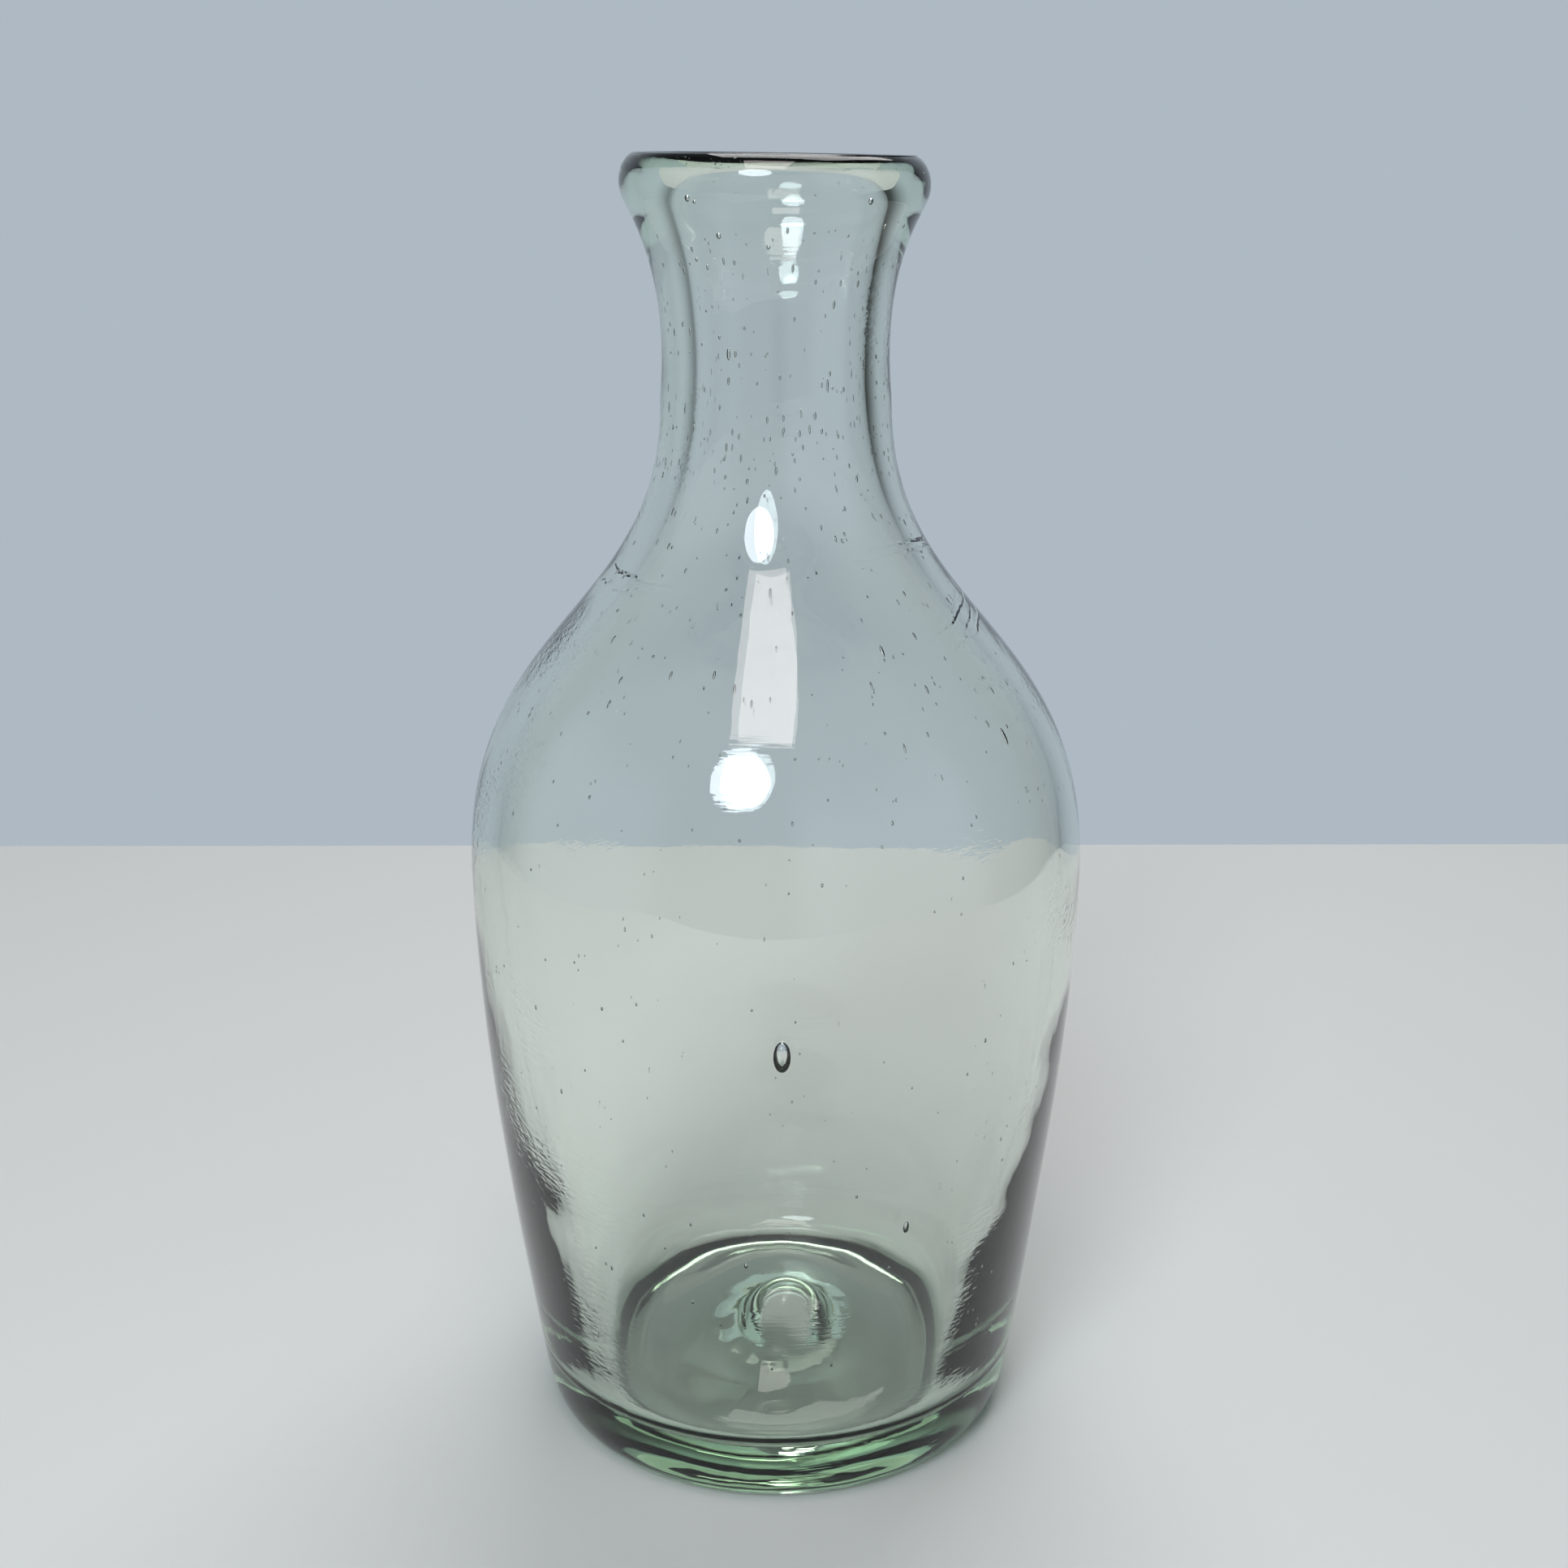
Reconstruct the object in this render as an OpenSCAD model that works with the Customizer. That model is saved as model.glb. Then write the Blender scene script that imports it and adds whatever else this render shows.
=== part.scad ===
// Hand-blown glass bottle with a flared lip and a pushed-up base.
// One piece of glass, drawn as half of its cross-section and turned about Z.
// +Z points up. The origin is the middle of the ring that it stands on.

/* [Height] */
// Height from the table to the top of the lip
height = 260; // [250:1:280]

/* [Lip and neck] */
// Diameter of the lip at its widest
lip_d = 59; // [56:0.5:64]
// Diameter of the opening between the inner edges of the lip
throat_d = 41; // [36:0.5:44]
// Outside diameter of the neck at its waist
neck_d = 45; // [42:0.5:48]
// Height of the waist of the neck
neck_z = 214; // [208:1:218]
// Glass thickness at the waist of the neck
neck_wall = 6.2; // [4:0.1:7.5]

/* [Body] */
// Outside diameter of the body at its widest
belly_d = 124.5; // [112:0.5:136]
// Height of the widest part of the body
belly_z = 122; // [112:1:130]
// Glass thickness at the widest part of the body
belly_wall = 5.2; // [3:0.1:7]

/* [Base] */
// Outside diameter at the top of the rounded heel
heel_d = 102; // [96:0.5:108]
// Height of the rounded heel
heel_h = 12.5; // [8:0.5:16]
// Outside diameter of the ring that touches the table
ring_d = 88; // [84:0.5:92]
// Width of the ring that touches the table
ring_w = 6; // [3:0.5:8]
// Glass thickness of the wall just above the floor
base_wall = 10.5; // [8.5:0.1:11.5]
// Thickness of the glass under the lowest ring of the floor
floor_t = 9.5; // [8.5:0.5:11]

/* [Push-up] */
// Diameter of the lowest ring of the floor, round the hump
hump_d = 65; // [60:0.5:68]
// Height of the top of the hump above the table
hump_top = 21; // [20:0.5:24]
// Diameter of the narrow hollow that the tool left under the hump
kick_d = 17.5; // [14:0.5:20]
// Height of the top of that hollow above the table
kick_top = 17; // [14:0.5:17]
// Height of the mouth of that hollow above the table
mouth_z = 6; // [5:0.5:7]

/* [Hidden] */
$fn = 96;

// Straight pieces that each curve is drawn with
curve_steps = 18;

// Angles from the vertical, in degrees
heel_flare = 8;
lip_flare = 29;
throat_flare = lip_flare / 2;
base_taper = 13;

// Handle length that makes a curve follow a quarter of an ellipse
round_handle = 0.5523;

// How far the curves run straight on from the ring, the heel, the belly and the waist, in mm
ring_run = [4.4, 0];
heel_run = 19;
belly_run_down = [0, 42];
belly_run_up = [0, 48];
waist_run_down = [0, 42];
waist_run_up = [0, 3];

// The same inside the bottle
throat_run = 12;
inner_waist_run_up = [0, 13];
inner_waist_run_down = [0, 50];
inner_belly_run_up = [0, 46];
inner_belly_run_down = [0, 38];
inner_heel_run_up = 42;
inner_heel_run_down = 5.5;
trough_run_out = [4.5, 0];
trough_run_in = [7, 0];

// The rounded lip: how far its edge and crest lie in from its widest and below its top
lip_edge = [lip_d / 2 - 1.1, height - 9.5];
lip_crest = [lip_d / 2 - 3.4, height];
throat = [throat_d / 2, height - 7];
lip_edge_run_down = 18;
lip_edge_run_up = 5.7;
lip_crest_run_out = [2.2, 0];
lip_crest_run_in = [2.6, 0];
throat_run_up = 4;

heel = [heel_d / 2, heel_h];
ring_outer = [ring_d / 2, 0];
ring_inner = [ring_d / 2 - ring_w, 0];
belly = [belly_d / 2, belly_z];
waist = [neck_d / 2, neck_z];

// The inside is narrowest a little above the waist of the outside
inner_waist = [neck_d / 2 - neck_wall, neck_z + 6];
inner_belly = [belly_d / 2 - belly_wall, belly_z];

// The wall above the floor is measured 4 mm above the heel, where the outside is 1 mm wider
inner_heel = [heel_d / 2 + 1 - base_wall, floor_t + 7];
trough = [hump_d / 2, floor_t];
hump_crest = [0, hump_top];

// The hollow under the hump, and the shallow slope from its mouth out to the ring
kick_crest = [0, kick_top];
kick_mouth = [kick_d / 2, mouth_z];
kick_side_run = [1, -6];
mouth_run = [1.4, -2.2];
ring_inner_run = [15, -4];

// A direction that leans outwards by an angle from the vertical
function lean(angle) = [sin(angle), cos(angle)];

// A point on the cubic curve from a to d that leaves towards b and arrives from c
function on_curve(a, b, c, d, t) =
    pow(1 - t, 3) * a + 3 * pow(1 - t, 2) * t * b + 3 * (1 - t) * t * t * c + t * t * t * d;

// The points of a curve without its last one, where the next curve starts
function curve(a, b, c, d) = [for (i = [0 : curve_steps - 1]) on_curve(a, b, c, d, i / curve_steps)];

outside = concat(
    // Rounded heel
    curve(ring_outer, ring_outer + ring_run, heel - heel_h / 2 * lean(heel_flare), heel),
    // Tapering lower body
    curve(heel, heel + heel_run * lean(heel_flare), belly - belly_run_down, belly),
    // Round shoulder, sweeping up into the neck
    curve(belly, belly + belly_run_up, waist - waist_run_down, waist),
    // Flare of the neck
    curve(waist, waist + waist_run_up, lip_edge - lip_edge_run_down * lean(lip_flare), lip_edge),
    // Outer half of the rounded lip
    curve(lip_edge, lip_edge + lip_edge_run_up * lean(lip_flare), lip_crest + lip_crest_run_out, lip_crest)
);

inside = concat(
    // Inner half of the rounded lip
    curve(lip_crest, lip_crest - lip_crest_run_in, throat + throat_run_up * lean(throat_flare), throat),
    // Throat, narrowing to the waist
    curve(throat, throat - throat_run * lean(throat_flare), inner_waist + inner_waist_run_up, inner_waist),
    // Inside of the shoulder
    curve(inner_waist, inner_waist - inner_waist_run_down, inner_belly + inner_belly_run_up, inner_belly),
    // Inside of the lower body, where the wall grows thicker
    curve(
        inner_belly,
        inner_belly - inner_belly_run_down,
        inner_heel + inner_heel_run_up * lean(base_taper),
        inner_heel
    ),
    // Rounded corner down to the lowest ring of the floor
    curve(inner_heel, inner_heel - inner_heel_run_down * lean(base_taper), trough + trough_run_out, trough),
    // Gentle hump, ending on the axis
    curve(trough, trough - trough_run_in, hump_crest + [hump_d / 4, 0], hump_crest),
    [hump_crest]
);

underside = concat(
    // Domed hollow under the hump
    curve(kick_crest, kick_crest + [round_handle * kick_d / 2, 0], kick_mouth - kick_side_run, kick_mouth),
    // Shallow slope out to the ring that the bottle stands on
    curve(kick_mouth, kick_mouth + mouth_run, ring_inner - ring_inner_run, ring_inner),
    [ring_inner]
);

module bottle() {
    color([0.72, 0.80, 0.76, 0.5])
        rotate_extrude()
            polygon(concat(outside, inside, underside));
}

bottle();
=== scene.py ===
"""Hand-blown glass bottle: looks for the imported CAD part, on a plain studio stage."""

import math
import random

import bmesh
import bpy
from mathutils import Matrix, Vector, noise


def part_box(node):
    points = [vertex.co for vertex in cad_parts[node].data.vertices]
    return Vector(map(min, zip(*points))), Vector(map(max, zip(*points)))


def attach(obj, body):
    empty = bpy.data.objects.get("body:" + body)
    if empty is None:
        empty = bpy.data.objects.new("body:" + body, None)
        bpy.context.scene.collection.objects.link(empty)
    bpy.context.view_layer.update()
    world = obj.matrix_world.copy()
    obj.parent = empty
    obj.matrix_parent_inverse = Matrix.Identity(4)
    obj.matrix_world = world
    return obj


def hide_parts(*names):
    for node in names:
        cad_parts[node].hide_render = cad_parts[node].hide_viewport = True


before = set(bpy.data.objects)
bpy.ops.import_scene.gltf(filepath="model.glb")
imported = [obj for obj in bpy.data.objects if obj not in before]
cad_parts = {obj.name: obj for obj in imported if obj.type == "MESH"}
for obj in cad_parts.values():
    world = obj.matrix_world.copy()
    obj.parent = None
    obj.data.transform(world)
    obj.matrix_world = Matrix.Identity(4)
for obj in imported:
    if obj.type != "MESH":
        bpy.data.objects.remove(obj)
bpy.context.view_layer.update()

bl_info = {
    "name": "Blown glass bottle",
    "version": (1, 0, 0),
    "blender": (4, 5, 0),
    "location": "3D View > Sidebar > Bottle",
    "description": "Builds a hand-blown glass bottle with its seeds, and a studio stage for it",
    "category": "Add Mesh",
}

BOTTLE_LOW, BOTTLE_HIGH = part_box("bottle")
BOTTLE_NAME = "bottle_glass"

MM = 0.001


def srgb(text):
    """A hex colour such as #C8D0CC as the linear values that Blender works in."""
    parts = [int(text[i : i + 2], 16) / 255 for i in (1, 3, 5)]
    return tuple(c / 12.92 if c <= 0.04045 else ((c + 0.055) / 1.055) ** 2.4 for c in parts)


# ---------------------------------------------------------------- settings


def length(name, description, default):
    """A size in metres that a user may change."""
    return bpy.props.FloatProperty(
        name=name, description=description, default=default, unit="LENGTH", subtype="DISTANCE", precision=4
    )


def colour(name, description, default):
    """A colour that a user may change, from its hex value."""
    return bpy.props.FloatVectorProperty(
        name=name, description=description, default=srgb(default), subtype="COLOR", min=0, max=1
    )


class BottleSizes(bpy.types.PropertyGroup):
    """Driving sizes of the glass, the same as the CAD part's."""

    height: length("Height", "Table to the top of the lip", BOTTLE_HIGH[2] - BOTTLE_LOW[2])
    lip_d: length("Lip diameter", "Outside diameter of the lip", 59 * MM)
    throat_d: length("Throat diameter", "Opening between the inner edges of the lip", 41 * MM)
    neck_d: length("Neck diameter", "Outside diameter at the waist of the neck", 45 * MM)
    neck_z: length("Neck height", "Height of the waist of the neck", 214 * MM)
    neck_wall: length("Neck wall", "Glass thickness at the waist", 6.2 * MM)
    belly_d: length("Belly diameter", "Outside diameter at the widest", BOTTLE_HIGH[0] - BOTTLE_LOW[0])
    belly_z: length("Belly height", "Height of the widest part", 122 * MM)
    belly_wall: length("Belly wall", "Glass thickness at the widest", 5.2 * MM)
    heel_d: length("Heel diameter", "Outside diameter at the top of the heel", 102 * MM)
    heel_h: length("Heel height", "Height of the rounded heel", 12.5 * MM)
    ring_d: length("Ring diameter", "Outside diameter of the ring it stands on", 88 * MM)
    ring_w: length("Ring width", "Width of the ring it stands on", 6 * MM)
    base_wall: length("Base wall", "Glass thickness just above the floor", 10.5 * MM)
    floor_t: length("Floor thickness", "Glass under the lowest ring of the floor", 9.5 * MM)
    hump_d: length("Hump diameter", "Diameter of the lowest ring of the floor, round the hump", 65 * MM)
    hump_top: length("Hump height", "Top of the hump above the table", 21 * MM)
    kick_d: length("Hollow diameter", "Narrow hollow under the hump", 17.5 * MM)
    kick_top: length("Hollow height", "Top of the hollow above the table", 17 * MM)
    mouth_z: length("Hollow mouth", "Height of the mouth of the hollow", 6 * MM)
    wander: length("Wander", "How far the hand-blown surface wanders", 0.35 * MM)
    bore_shift: length("Bore shift", "How far the bore sits off centre", 0.6 * MM)


class GlassLook(bpy.types.PropertyGroup):
    """Finish of the glass and its seeds."""

    tint: colour("Tint", "What is left of white light after a long way through the glass", "#A5E19C")
    density: bpy.props.FloatProperty(
        name="Density", description="How much light a metre of the glass takes up", default=12.0, min=0
    )
    seeds: bpy.props.IntProperty(name="Seeds", description="Small bubbles in the glass", default=700, min=0)


class StageLook(bpy.types.PropertyGroup):
    """Floor, backdrop and light."""

    floor: colour("Floor", "Colour of the floor", "#D8DAD8")
    backdrop: colour("Backdrop", "Colour round the stage", "#AEB9C3")
    dark: colour("Dark", "Colour of the dim parts of the studio", "#2A2C2A")


# ---------------------------------------------------------------- helpers


def add(tree, kind, settings=None, inputs=None):
    """Adds a node, sets its settings, and sets or links its inputs."""
    node = tree.nodes.new(kind)
    for name, value in (settings or {}).items():
        setattr(node, name, value)
    for name, value in (inputs or {}).items():
        if isinstance(value, bpy.types.NodeSocket):
            tree.links.new(value, node.inputs[name])
        else:
            node.inputs[name].default_value = value
    return node


def empty_material(name):
    """A new material with no nodes in it."""
    material = bpy.data.materials.new(name)
    material.use_nodes = True
    material.node_tree.nodes.clear()
    return material


def object_from(bm, name, material):
    """Turns a bmesh into a smooth object at the origin, with one material."""
    mesh = bpy.data.meshes.new(name)
    bm.to_mesh(mesh)
    bm.free()
    mesh.shade_smooth()
    mesh.materials.append(material)
    thing = bpy.data.objects.new(name, mesh)
    bpy.context.collection.objects.link(thing)
    return thing


def blend_step(low, high, value):
    """0 below low, 1 above high, with a smooth rise between."""
    t = min(max((value - low) / (high - low), 0), 1)
    return t * t * (3 - 2 * t)


# ---------------------------------------------------------------- the shape of the glass


def lean(degrees):
    """A direction in the cross-section that leans outwards from the vertical."""
    return Vector((math.sin(math.radians(degrees)), math.cos(math.radians(degrees))))


def curve(steps, a, b, c, d):
    """Points of the cubic curve from a to d, leaving towards b and arriving from c, without the last."""
    points = []
    for i in range(steps):
        t = i / steps
        u = 1 - t
        points.append(u**3 * a + 3 * u * u * t * b + 3 * u * t * t * c + t**3 * d)
    return points


# Handle length that makes a cubic curve follow a quarter of an ellipse
ROUND = 0.5523

# Angles from the vertical at which the heel, the lip, the throat and the lowest inner wall stand
HEEL_FLARE = 8
LIP_FLARE = 29
THROAT_FLARE = 14.5
BASE_TAPER = 13

# Points along the inner half of the lip and along the hump, which hold no seeds
LIP_STEPS = 10
HUMP_STEPS = 30


def at(r, z):
    """A point of the cross-section, in metres."""
    return Vector((r, z))


def mm(r, z):
    """A step across the cross-section, in millimetres."""
    return Vector((r * MM, z * MM))


# In the next three functions, what is added to or taken from a point is a handle of its curve:
# the way the curve runs on from there, and how far.


def outside_of(s):
    """The outside, from the ring it stands on up to the crest of the lip."""
    ring_outer = at(s.ring_d / 2, 0)
    heel = at(s.heel_d / 2, s.heel_h)
    belly = at(s.belly_d / 2, s.belly_z)
    waist = at(s.neck_d / 2, s.neck_z)
    lip_edge = at(s.lip_d / 2 - 1.1 * MM, s.height - 9.5 * MM)
    lip_crest = at(s.lip_d / 2 - 3.4 * MM, s.height)
    heel_lean = lean(HEEL_FLARE)
    lip_lean = lean(LIP_FLARE)
    return (
        curve(10, ring_outer, ring_outer + mm(4.4, 0), heel - 0.5 * s.heel_h * heel_lean, heel)
        + curve(36, heel, heel + 19 * MM * heel_lean, belly - mm(0, 42), belly)
        + curve(40, belly, belly + mm(0, 48), waist - mm(0, 42), waist)
        + curve(20, waist, waist + mm(0, 3), lip_edge - 18 * MM * lip_lean, lip_edge)
        + curve(14, lip_edge, lip_edge + 5.7 * MM * lip_lean, lip_crest + mm(2.2, 0), lip_crest)
    )


def inside_of(s):
    """The inside, from the crest of the lip down to the top of the hump on the axis."""
    lip_crest = at(s.lip_d / 2 - 3.4 * MM, s.height)
    throat = at(s.throat_d / 2, s.height - 7 * MM)
    waist = at(s.neck_d / 2 - s.neck_wall, s.neck_z + 6 * MM)
    belly = at(s.belly_d / 2 - s.belly_wall, s.belly_z)
    heel = at(s.heel_d / 2 + 1 * MM - s.base_wall, s.floor_t + 7 * MM)
    trough = at(s.hump_d / 2, s.floor_t)
    hump_crest = at(0, s.hump_top)
    throat_lean = lean(THROAT_FLARE)
    base_lean = lean(BASE_TAPER)
    return (
        curve(LIP_STEPS, lip_crest, lip_crest - mm(2.6, 0), throat + 4 * MM * throat_lean, throat)
        + curve(16, throat, throat - 12 * MM * throat_lean, waist + mm(0, 13), waist)
        + curve(40, waist, waist - mm(0, 50), belly + mm(0, 46), belly)
        + curve(36, belly, belly - mm(0, 38), heel + 42 * MM * base_lean, heel)
        + curve(12, heel, heel - 5.5 * MM * base_lean, trough + mm(4.5, 0), trough)
        + curve(HUMP_STEPS, trough, trough - mm(7, 0), hump_crest + at(s.hump_d / 4, 0), hump_crest)
        + [hump_crest]
    )


def underside_of(s):
    """The underside, from the top of the hollow on the axis out to the ring it stands on."""
    kick_crest = at(0, s.kick_top)
    kick_mouth = at(s.kick_d / 2, s.mouth_z)
    ring_inner = at(s.ring_d / 2 - s.ring_w, 0)
    rounded = at(ROUND * s.kick_d / 2, 0)
    return (
        curve(20, kick_crest, kick_crest + rounded, kick_mouth + mm(-1, 6), kick_mouth)
        + curve(26, kick_mouth, kick_mouth + mm(1.4, -2.2), ring_inner - mm(15, -4), ring_inner)
        + [ring_inner]
    )


def radius_at(points, z):
    """Radius where a run of points, falling or rising, passes a height."""
    for a, b in zip(points, points[1:]):
        if (a[1] - z) * (b[1] - z) <= 0 and a[1] != b[1]:
            return a[0] + (b[0] - a[0]) * (z - a[1]) / (b[1] - a[1])
    raise ValueError(f"no point of the outline is at height {z}")


OUTSIDE, INSIDE, UNDERSIDE = 0, 1, 2
STEPS_AROUND = 192


def spun_glass(s):
    """The closed skin of the bottle, spun from its half section."""
    bm = bmesh.new()
    side = bm.verts.layers.int.new("side")
    verts = []
    outside, inside = outside_of(s), inside_of(s)
    for mark, points in ((OUTSIDE, outside), (INSIDE, inside), (UNDERSIDE, underside_of(s))):
        for r, z in points:
            vert = bm.verts.new((r, 0, z))
            vert[side] = mark
            verts.append(vert)
    # No edge along the axis, from the top of the hump to the top of the hollow
    on_axis = len(outside) + len(inside) - 1
    pairs = zip(verts, verts[1:] + verts[:1])
    edges = [bm.edges.new(pair) for i, pair in enumerate(pairs) if i != on_axis]
    bmesh.ops.spin(
        bm,
        geom=verts + edges,
        cent=(0, 0, 0),
        axis=(0, 0, 1),
        dvec=(0, 0, 0),
        angle=2 * math.pi,
        steps=STEPS_AROUND,
        use_merge=True,
        use_duplicate=False,
    )
    bmesh.ops.remove_doubles(bm, verts=bm.verts, dist=1e-6)
    bmesh.ops.recalc_face_normals(bm, faces=bm.faces)
    return bm, side


# How far the middle of the lip sinks. Its +X side sinks twice as far and its -X side not at all.
LIP_DROP = 0.45 * MM


def wander_by_hand(bm, side, s):
    """Moves the skin as the blower's hand did: an uneven wall, ripples, a lip that isn't quite level."""
    for vert in bm.verts:
        x, y, z = vert.co
        r = math.hypot(x, y)
        if r < 1e-7:
            continue
        out = Vector((x / r, y / r, 0))
        above_base = blend_step(14 * MM, 60 * MM, z)
        slow = noise.noise(Vector((x * 22, y * 22, z * 14)))
        push = 0
        if vert[side] == OUTSIDE:
            push = above_base * (slow - 0.6)
        elif vert[side] == INSIDE:
            in_neck = blend_step(175 * MM, 215 * MM, z)
            flow = noise.noise(Vector((x * 90 + 7, y * 90, z * 18)))
            rings = noise.noise(Vector((x * 12, y * 12 + 3, z * 95)))
            push = 0.9 * slow + 0.55 * flow * in_neck + 0.3 * rings * (1 - in_neck)
            push *= blend_step(22 * MM, 50 * MM, z) if r > s.hump_d / 2 else 0.5
            vert.co.x += s.bore_shift * above_base
        vert.co += out * push * s.wander
        at_lip = blend_step(s.height - 30 * MM, s.height, z)
        vert.co.z -= at_lip * (1 + x / (s.lip_d / 2)) * LIP_DROP


# The mark of the iron: half the width of its band, the height of its chips, its shift to one side
PUNTY_BAND = 3.5 * MM
PUNTY_CHIP = 0.3 * MM
PUNTY_SHIFT = 1.5 * MM


def rough_punty_mark(bm, side, s):
    """Chipped, drawn-out glass round the mouth of the hollow, where the iron was snapped off."""
    mark_r = s.kick_d / 2 + 1.5 * MM
    for vert in bm.verts:
        if vert[side] != UNDERSIDE:
            continue
        r = math.hypot(vert.co.x, vert.co.y)
        near = max(0, 1 - abs(r - mark_r) / PUNTY_BAND)
        grain = noise.noise(vert.co * 260) + 0.3 * noise.noise(vert.co * 600)
        vert.co.z += near * grain * PUNTY_CHIP
        vert.co.x += PUNTY_SHIFT * (1 - blend_step(9 * MM, 30 * MM, r))


# ---------------------------------------------------------------- the glass itself


# Chill creases: degrees to the right of the front, height in mm, and rise in mm per mm to the right
CREASES = ((-56, 180.5, 0.05), (58, 187.0, -0.08), (72, 172.0, 0.1))
CREASE_REACH = 14 * MM
CREASE_WAVE = 4 * MM
CREASE_WIDTH = 0.4 * MM


def crease_line(tree, place, degrees, height, rise):
    """1 on a wavy line that reaches to each side of a bearing, 0 away from it."""
    angle = math.radians(degrees)
    across = Vector((math.cos(angle), math.sin(angle), 0))
    facing = Vector((math.sin(angle), -math.cos(angle), 0))
    level = add(tree, "ShaderNodeMapping", inputs={"Vector": place, "Scale": (1, 1, 0.15)}).outputs[0]
    wave = add(tree, "ShaderNodeTexNoise", inputs={"Vector": level, "Scale": 85, "Detail": 3})

    def measure(along):
        return add(
            tree, "ShaderNodeVectorMath", {"operation": "DOT_PRODUCT"}, inputs={0: place, 1: along}
        ).outputs["Value"]

    def total(kind, a, b):
        return add(tree, "ShaderNodeMath", {"operation": kind}, inputs={0: a, 1: b}).outputs[0]

    # Height above the line, with the wave of the line taken in
    over = total("SUBTRACT", measure(Vector((0, 0, 1)) - rise * across), height * MM)
    swing = total("MULTIPLY", total("SUBTRACT", wave.outputs["Fac"], 0.5), CREASE_WAVE)
    off_line = total("ABSOLUTE", total("ADD", over, swing), 0)
    on_line = total("SUBTRACT", 1, total("MULTIPLY", off_line, 1 / CREASE_WIDTH))
    aside = total("ABSOLUTE", measure(across), 0)
    on_side = total("GREATER_THAN", measure(facing), 0)
    in_reach = total("LESS_THAN", aside, CREASE_REACH)
    return total("MULTIPLY", total("MAXIMUM", on_line, 0), total("MULTIPLY", on_side, in_reach))


def bump(tree, height, strength, depth, under=None, sunk=False):
    """The normal of a relief of a certain depth, on top of another normal."""
    inputs = {"Height": height, "Strength": strength, "Distance": depth}
    if under is not None:
        inputs["Normal"] = under
    return add(tree, "ShaderNodeBump", {"invert": sunk}, inputs=inputs).outputs["Normal"]


def tool_ripples(tree, place):
    """Slow ripples left by the tools, drawn out along the height."""
    drawn = add(tree, "ShaderNodeMapping", inputs={"Vector": place, "Scale": (1, 1, 0.35)})
    ripple = add(
        tree,
        "ShaderNodeTexNoise",
        inputs={"Vector": drawn.outputs["Vector"], "Scale": 55, "Detail": 3, "Roughness": 0.45},
    )
    return bump(tree, ripple.outputs["Fac"], 0.25, 0.4 * MM)


def rub_marks(tree, place, under):
    """Short slanting strokes about a millimetre apart, in patches, left on the soft glass by the tools."""
    slanted = add(
        tree,
        "ShaderNodeMapping",
        inputs={"Vector": place, "Rotation": (0, math.radians(28), 0), "Scale": (0.06, 0.5, 1)},
    ).outputs["Vector"]
    strokes = add(
        tree, "ShaderNodeTexNoise", inputs={"Vector": slanted, "Scale": 1100, "Detail": 2, "Roughness": 0.5}
    )
    patches = add(tree, "ShaderNodeTexNoise", inputs={"Vector": place, "Scale": 38, "Detail": 1})
    rubbed = add(
        tree,
        "ShaderNodeMapRange",
        inputs={"Value": patches.outputs["Fac"], "From Min": 0.56, "From Max": 0.72, "To Max": 0.45},
    ).outputs["Result"]
    return bump(tree, strokes.outputs["Fac"], rubbed, 0.12 * MM, under)


def finger_haze(tree, place):
    """Roughness of barely hazy patches on a polished surface."""
    haze = add(
        tree, "ShaderNodeTexNoise", inputs={"Vector": place, "Scale": 30, "Detail": 6, "Roughness": 0.6}
    )
    return add(
        tree,
        "ShaderNodeMapRange",
        inputs={"Value": haze.outputs["Fac"], "From Min": 0.5, "From Max": 0.8, "To Max": 0.08},
    ).outputs["Result"]


def recycled_soda_glass(look):
    """Soda-lime glass melted from cullet, free-blown and fire-polished: clear and glossy, faintly
    green through a wall and plainly green through the thick base, with ripples, rub marks and
    hair-fine creases where the skin chilled."""
    material = empty_material("recycled_soda_glass_fire_polished")
    tree = material.node_tree
    place = add(tree, "ShaderNodeTexCoord").outputs["Object"]
    relief = rub_marks(tree, place, tool_ripples(tree, place))
    for azimuth, height, rise in CREASES:
        line = crease_line(tree, place, azimuth, height, rise)
        relief = bump(tree, line, 0.5, 0.15 * MM, relief, sunk=True)
    glass = add(
        tree,
        "ShaderNodeBsdfPrincipled",
        inputs={
            "Base Color": (1, 1, 1, 1),
            "Roughness": finger_haze(tree, place),
            "IOR": 1.52,
            "Transmission Weight": 1.0,
            "Normal": relief,
        },
    )
    green = add(
        tree,
        "ShaderNodeVolumeAbsorption",
        inputs={"Color": (*look.tint, 1), "Density": look.density},
    )
    add(
        tree,
        "ShaderNodeOutputMaterial",
        inputs={"Surface": glass.outputs["BSDF"], "Volume": green.outputs["Volume"]},
    )
    return material


# The largest bubbles: degrees to the right of the front, then height, width and length in mm
BUBBLES = (
    (-36, 252.5, 1.0, 1.0),
    (-33, 252.0, 0.6, 0.6),
    (-25, 246.0, 0.9, 1.2),
    (-3, 244.0, 0.7, 0.8),
    (40, 252.0, 1.0, 1.0),
    (33, 246.0, 0.5, 0.7),
    (68, 247.7, 0.8, 1.0),
    (-25, 224.4, 0.7, 2.2),
    (28, 218.6, 0.5, 2.6),
    (30, 171.6, 0.7, 2.4),
    (55, 154.3, 0.9, 3.4),
    (1, 103.0, 3.3, 6.2),
    (26, 63.5, 1.2, 2.6),
    (-6, 57.8, 0.7, 1.2),
)


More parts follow.
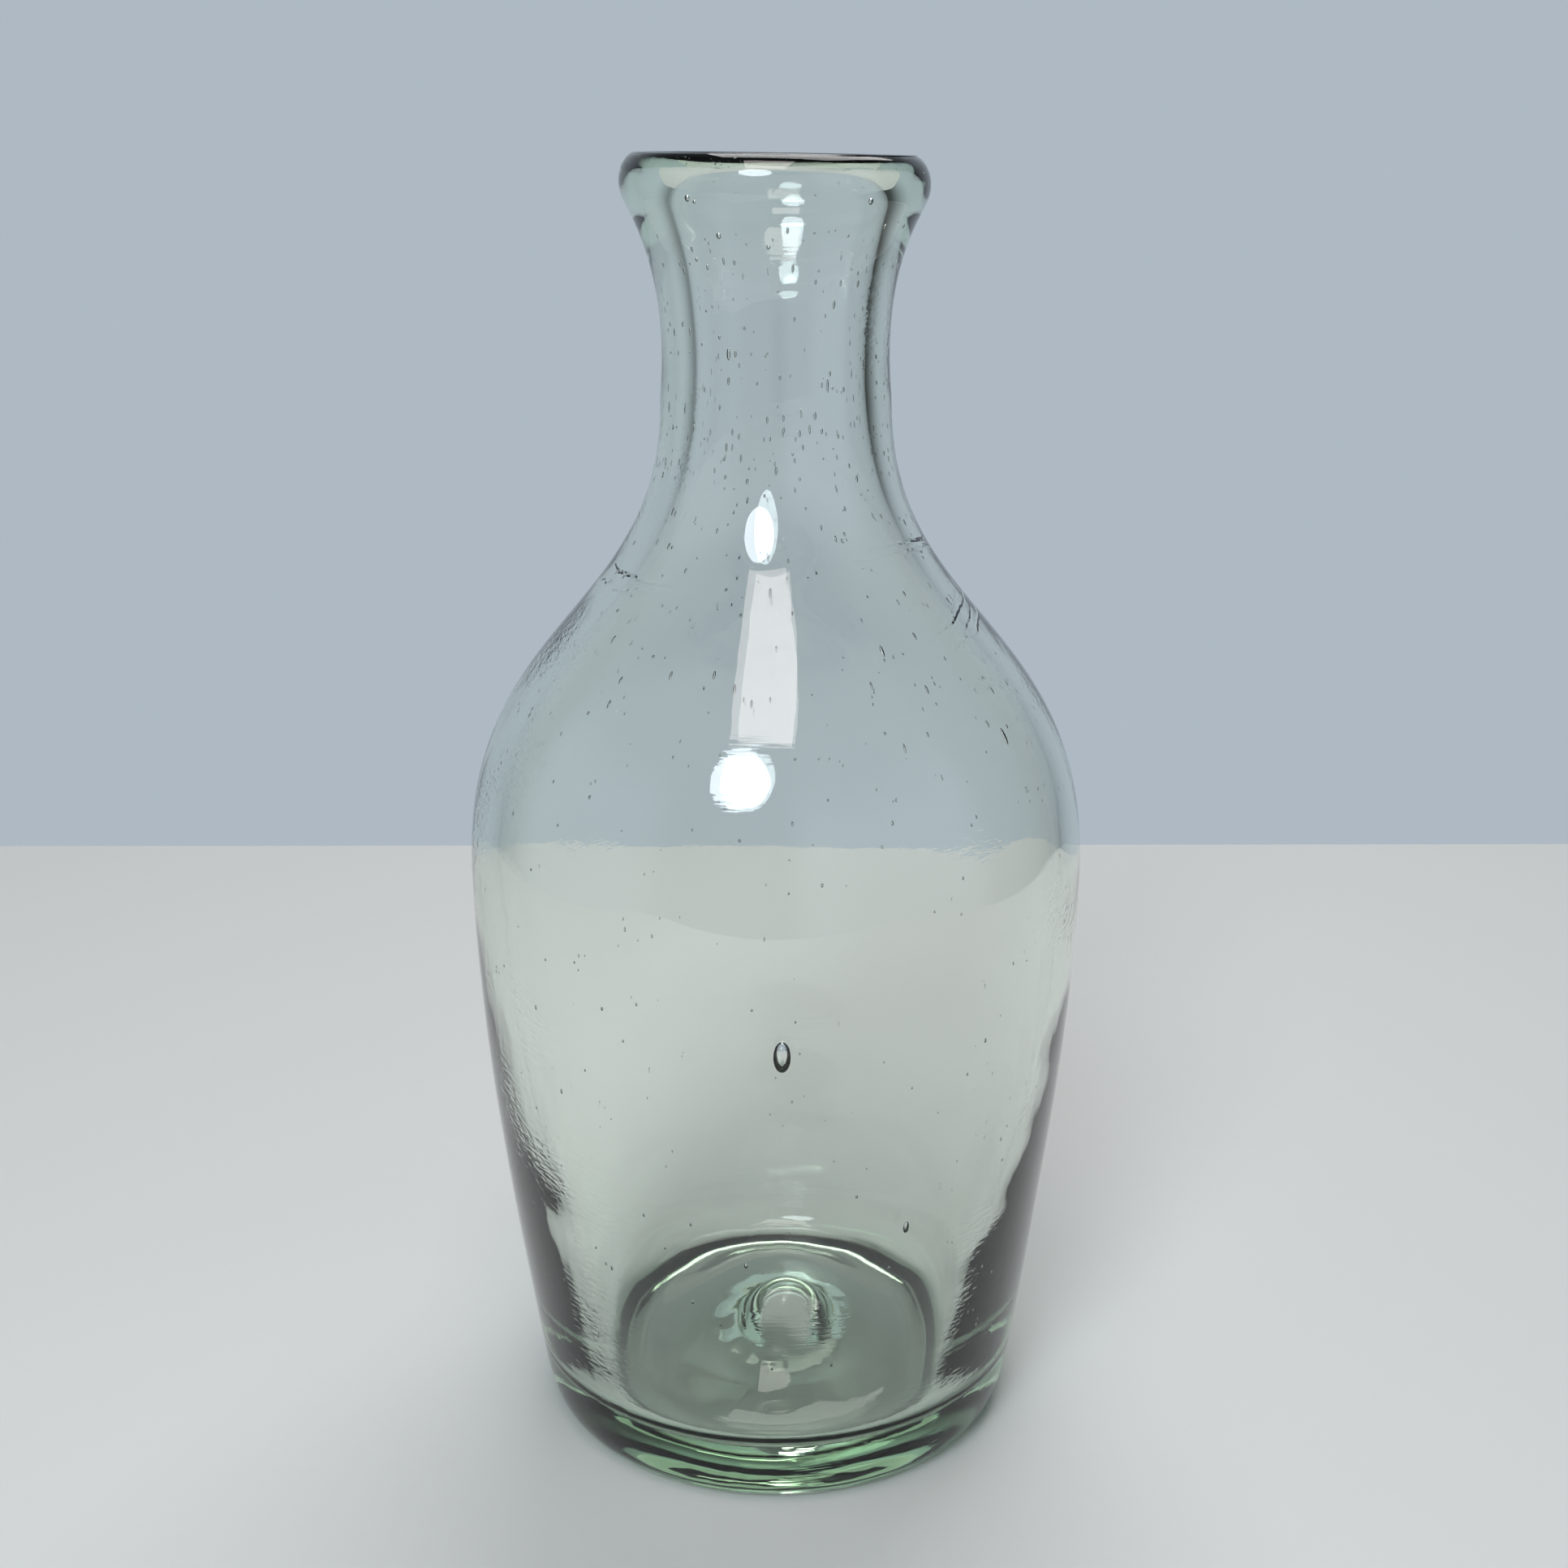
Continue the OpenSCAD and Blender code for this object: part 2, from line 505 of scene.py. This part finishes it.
def seed_frame(outside, azimuth, z, r):
    """Axes of a seed in the wall: across the wall, around it, and along its slope."""
    step = 2 * MM
    slope = (radius_at(outside, z + step) - radius_at(outside, z - step)) / (2 * step)
    around = Vector((-math.sin(azimuth), math.cos(azimuth), 0))
    out = Vector((math.cos(azimuth), math.sin(azimuth), 0))
    along = (out * slope + Vector((0, 0, 1))).normalized()
    across = around.cross(along)
    turn = Matrix((across, around, along)).transposed().to_4x4()
    return Matrix.Translation(out * r + Vector((0, 0, z))) @ turn


# Seeds are made in small groups, because adding to a large mesh is slow
SEED_BATCH = 20

# Heights in mm between which seeds lie: one in four lies in each of these
SEED_ZONES = ((200, 250), (140, 215), (24, 215), (24, 180))


def small_seeds(count):
    """Azimuth, height, depth and size of each small seed. They are most crowded in the neck."""
    rng = random.Random(7)
    for _ in range(count):
        z = rng.uniform(*rng.choice(SEED_ZONES)) * MM
        width = rng.uniform(0.22, 0.55) * MM
        pull = rng.uniform(1.2, 4.0) if z > 150 * MM else rng.uniform(1.0, 2.2)
        azimuth = rng.uniform(0, 2 * math.pi)
        yield azimuth, z, rng.uniform(0.25, 0.75), (width, width, width * pull)


def merge_into(target, part):
    """Adds one bmesh to another and frees it."""
    mesh = bpy.data.meshes.new("part")
    part.to_mesh(mesh)
    part.free()
    target.from_mesh(mesh)
    bpy.data.meshes.remove(mesh)


def add_seed(bm, outline, azimuth, z, depth, size, fine=False):
    """One bubble, a hollow in the glass whose skin faces inwards. Depth is 0 inside and 1 outside."""
    outside, inside = outline
    r_out = radius_at(outside, z)
    r_in = radius_at(inside, z)
    lie = seed_frame(outside, azimuth, z, r_in + (r_out - r_in) * depth)
    stretch = Matrix.Diagonal((*size, 1))
    made = bmesh.ops.create_uvsphere(
        bm,
        u_segments=16 if fine else 8,
        v_segments=12 if fine else 6,
        radius=0.5,
        matrix=lie @ stretch,
    )
    faces = {face for vert in made["verts"] for face in vert.link_faces}
    bmesh.ops.reverse_faces(bm, faces=list(faces))


# ---------------------------------------------------------------- operators


class BOTTLE_OT_glass(bpy.types.Operator):
    """Blow the bottle: spin its section, let it wander, and give it its glass"""

    bl_idname = "bottle.glass"
    bl_label = "Bottle"

    def execute(self, context):
        s = context.scene.bottle_sizes
        bm, side = spun_glass(s)
        wander_by_hand(bm, side, s)
        rough_punty_mark(bm, side, s)
        bottle = object_from(bm, BOTTLE_NAME, recycled_soda_glass(context.scene.glass_look))
        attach(bottle, "root")
        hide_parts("bottle")
        return {"FINISHED"}


class BOTTLE_OT_seeds(bpy.types.Operator):
    """Trap the seeds, small bubbles that the melt never let go of, in the wall of the bottle"""

    bl_idname = "bottle.seeds"
    bl_label = "Seeds"

    def execute(self, context):
        s = context.scene.bottle_sizes
        bottle = bpy.data.objects[BOTTLE_NAME]
        wall = inside_of(s)[LIP_STEPS : -HUMP_STEPS - 1]
        outline = (outside_of(s), wall)
        bm = bmesh.new()
        bm.from_mesh(bottle.data)
        seeds = list(small_seeds(context.scene.glass_look.seeds))
        for start in range(0, len(seeds), SEED_BATCH):
            batch = bmesh.new()
            for seed in seeds[start : start + SEED_BATCH]:
                add_seed(batch, outline, *seed)
            merge_into(bm, batch)
        batch = bmesh.new()
        for degrees, z, width, tall in BUBBLES:
            size = (0.8 * width * MM, width * MM, tall * MM)
            add_seed(batch, outline, math.radians(degrees - 90), z * MM, 0.55, size, fine=True)
        merge_into(bm, batch)
        bm.to_mesh(bottle.data)
        bm.free()
        bottle.data.shade_smooth()
        return {"FINISHED"}


class BOTTLE_OT_stage(bpy.types.Operator):
    """Set the floor, the light and the camera"""

    bl_idname = "bottle.stage"
    bl_label = "Stage"

    def execute(self, context):
        look = context.scene.stage_look
        context.scene.view_settings.view_transform = "Standard"
        lay_floor(look)
        surround_with_screens(look)
        light_the_room()
        set_camera()
        return {"FINISHED"}


# Half width and depth of the table top, which ends a hand's length behind the bottle
TABLE_SIDE = 0.55
TABLE_FRONT = 0.55
TABLE_BACK = 0.364


def lay_floor(look):
    """A pale table top with rounded corners."""
    material = empty_material("matt_lacquered_board")
    tree = material.node_tree
    place = add(tree, "ShaderNodeTexCoord").outputs["Object"]
    grain = add(
        tree, "ShaderNodeTexNoise", inputs={"Vector": place, "Scale": 260, "Detail": 4, "Roughness": 0.6}
    )
    board = add(
        tree,
        "ShaderNodeBsdfPrincipled",
        inputs={
            "Base Color": (*look.floor, 1),
            "Roughness": 0.6,
            "Specular IOR Level": 0.3,
            "Normal": bump(tree, grain.outputs["Fac"], 0.15, 0.2 * MM),
        },
    )
    add(tree, "ShaderNodeOutputMaterial", inputs={"Surface": board.outputs["BSDF"]})
    bm = bmesh.new()
    bmesh.ops.create_grid(bm, x_segments=1, y_segments=1, size=TABLE_SIDE)
    for vert in bm.verts:
        vert.co.y = TABLE_BACK if vert.co.y > 0 else -TABLE_FRONT
    bmesh.ops.bevel(
        bm, geom=list(bm.verts), affect="VERTICES", offset=0.12, segments=16, profile=0.5, material=-1
    )
    floor = object_from(bm, "floor", material)


LIGHT_DISTANCE = 1.3


def away(azimuth, elevation):
    """A direction from the bottle. Azimuth 0 is at the camera's back, and it grows towards +X."""
    a, e = math.radians(azimuth), math.radians(elevation)
    return Vector((math.sin(a) * math.cos(e), -math.cos(a) * math.cos(e), math.sin(e)))


def area_light(name, azimuth, elevation, size, power, tone, shape="RECTANGLE"):
    """A softbox round the bottle, aimed at its middle."""
    data = bpy.data.lights.new(name, "AREA")
    data.shape = shape
    data.size, data.size_y = size
    data.energy = power
    data.color = srgb(tone)
    light = bpy.data.objects.new(name, data)
    light.location = Vector((0, 0, BOTTLE_HIGH[2] / 2)) + away(azimuth, elevation) * LIGHT_DISTANCE
    light.rotation_euler = away(azimuth, elevation).to_track_quat("Z", "Y").to_euler()
    bpy.context.collection.objects.link(light)


# Pale screens that stand round the table: azimuth, half width, and half width with the soft edge
SCREENS = ((185, 30, 68), (278, 16, 46), (45, 26, 46))


def surround_with_screens(look):
    """A dim studio with soft-edged pale screens, which fade out overhead."""
    world = bpy.data.worlds.new("studio")
    bpy.context.scene.world = world
    world.use_nodes = True
    tree = world.node_tree
    tree.nodes.clear()
    way = add(tree, "ShaderNodeTexCoord").outputs["Generated"]
    level = add(
        tree, "ShaderNodeVectorMath", {"operation": "MULTIPLY"}, inputs={0: way, 1: (1, 1, 0)}
    ).outputs[0]
    level = add(tree, "ShaderNodeVectorMath", {"operation": "NORMALIZE"}, inputs={0: level}).outputs[0]
    pale = 0.0
    for azimuth, flat, soft in SCREENS:
        facing = add(
            tree,
            "ShaderNodeVectorMath",
            {"operation": "DOT_PRODUCT"},
            inputs={0: level, 1: away(azimuth, 0)},
        ).outputs["Value"]
        screen = add(
            tree,
            "ShaderNodeMapRange",
            {"interpolation_type": "SMOOTHSTEP"},
            inputs={
                "Value": facing,
                "From Min": math.cos(math.radians(soft)),
                "From Max": math.cos(math.radians(flat)),
            },
        ).outputs["Result"]
        pale = add(
            tree, "ShaderNodeMath", {"operation": "SMOOTH_MAX"}, inputs={0: pale, 1: screen, 2: 0.1}
        ).outputs[0]
    height = add(tree, "ShaderNodeSeparateXYZ", inputs={"Vector": way}).outputs["Z"]
    below_top = add(
        tree,
        "ShaderNodeMapRange",
        {"interpolation_type": "SMOOTHSTEP"},
        inputs={"Value": height, "From Min": 0.3, "From Max": 0.7, "To Min": 1.0, "To Max": 0.2},
    ).outputs["Result"]
    pale = add(tree, "ShaderNodeMath", {"operation": "MULTIPLY"}, inputs={0: pale, 1: below_top}).outputs[0]
    mix = add(tree, "ShaderNodeMix", {"data_type": "RGBA"}, inputs={0: pale})
    mix.inputs[6].default_value = (*look.dark, 1)
    mix.inputs[7].default_value = (*look.backdrop, 1)
    glow = add(tree, "ShaderNodeBackground", inputs={"Color": mix.outputs[2], "Strength": 1.0})
    add(tree, "ShaderNodeOutputWorld", inputs={"Surface": glow.outputs["Background"]})


def light_the_room():
    """A large window and a round lamp behind the camera, and a soft light high over the back."""
    area_light("window", -8, 67, (0.5, 0.7), 5, "#FFF4F2")
    area_light("round_lamp", -15.5, 39, (0.47, 0.47), 7, "#EEF8FF", "DISK")
    area_light("high_fill", 165, 62, (0.9, 0.9), 9, "#FFFFFF")


CAMERA_DISTANCE = 411.3 * MM
CAMERA_HEIGHT = 262.4 * MM
CAMERA_PITCH = 17.04
CAMERA_YAW = 0.231
LENS = 48.45


def set_camera():
    """The camera looks down on the bottle from the height of its lip."""
    data = bpy.data.cameras.new("camera")
    data.lens = LENS
    data.sensor_width = 36
    data.clip_start = 0.01
    data.clip_end = 20
    camera = bpy.data.objects.new("camera", data)
    camera.location = (0, -CAMERA_DISTANCE, CAMERA_HEIGHT)
    camera.rotation_euler = (math.radians(90 - CAMERA_PITCH), 0, math.radians(-CAMERA_YAW))
    bpy.context.collection.objects.link(camera)
    bpy.context.scene.camera = camera


class BOTTLE_PT_panel(bpy.types.Panel):
    """The settings and the steps, in the sidebar"""

    bl_label = "Blown glass bottle"
    bl_idname = "BOTTLE_PT_panel"
    bl_space_type = "VIEW_3D"
    bl_region_type = "UI"
    bl_category = "Bottle"

    def draw(self, context):
        layout = self.layout
        for group in (context.scene.bottle_sizes, context.scene.glass_look, context.scene.stage_look):
            for name in group.__annotations__:
                layout.prop(group, name)
        for step in STEPS:
            layout.operator(step.bl_idname)


STEPS = (BOTTLE_OT_glass, BOTTLE_OT_seeds, BOTTLE_OT_stage)
GROUPS = {"bottle_sizes": BottleSizes, "glass_look": GlassLook, "stage_look": StageLook}


def register():
    for group in GROUPS.values():
        bpy.utils.register_class(group)
    for name, group in GROUPS.items():
        setattr(bpy.types.Scene, name, bpy.props.PointerProperty(type=group))
    for item in (*STEPS, BOTTLE_PT_panel):
        bpy.utils.register_class(item)


def unregister():
    for item in reversed((*STEPS, BOTTLE_PT_panel)):
        bpy.utils.unregister_class(item)
    for name in GROUPS:
        delattr(bpy.types.Scene, name)
    for group in reversed(GROUPS.values()):
        bpy.utils.unregister_class(group)


def main():
    register()
    bpy.ops.bottle.glass()
    bpy.ops.bottle.seeds()
    bpy.ops.bottle.stage()


if __name__ == "__main__":
    main()
